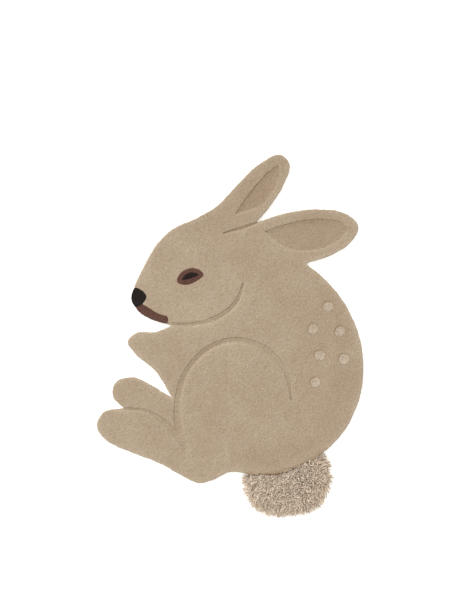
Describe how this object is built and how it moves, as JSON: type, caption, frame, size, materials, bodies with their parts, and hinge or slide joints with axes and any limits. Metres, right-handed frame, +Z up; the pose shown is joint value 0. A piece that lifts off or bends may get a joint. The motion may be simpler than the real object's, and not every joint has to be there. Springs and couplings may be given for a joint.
{
  "type": "rabbit shaped kids rug",
  "caption": "Flat hand-tufted wool rug in the shape of a curled rabbit, carved in two pile heights, with a long shag tail.",
  "frame": {"origin": "on the surface that the rug lies on, under the middle of its bounding box", "axes": "+Z up out of the pile, +Y from the tail towards the tips of the ears, +X from the face towards the back; the rabbit faces -X"},
  "size_m": [0.799, 1.0968, 0.0297],
  "materials": {
    "wool_pile": "matte cut wool pile, warm beige",
    "shag_yarn": "matte long wool shag, warm beige",
    "spot_yarn": "matte cut wool pile, light beige",
    "rust_yarn": "matte cut wool pile, rust brown",
    "dark_yarn": "matte cut wool pile, near-black brown"
  },
  "bodies": {
    "root": {"rug_body": "wool_pile", "tail_shag": "shag_yarn", "eye_rim": "rust_yarn", "eye_pupil": "dark_yarn", "nose": "dark_yarn", "mouth": "rust_yarn", "back_spot_1": "spot_yarn", "back_spot_2": "spot_yarn", "back_spot_3": "spot_yarn", "back_spot_4": "spot_yarn", "back_spot_5": "spot_yarn", "back_spot_6": "spot_yarn"}
  },
  "joints": []
}
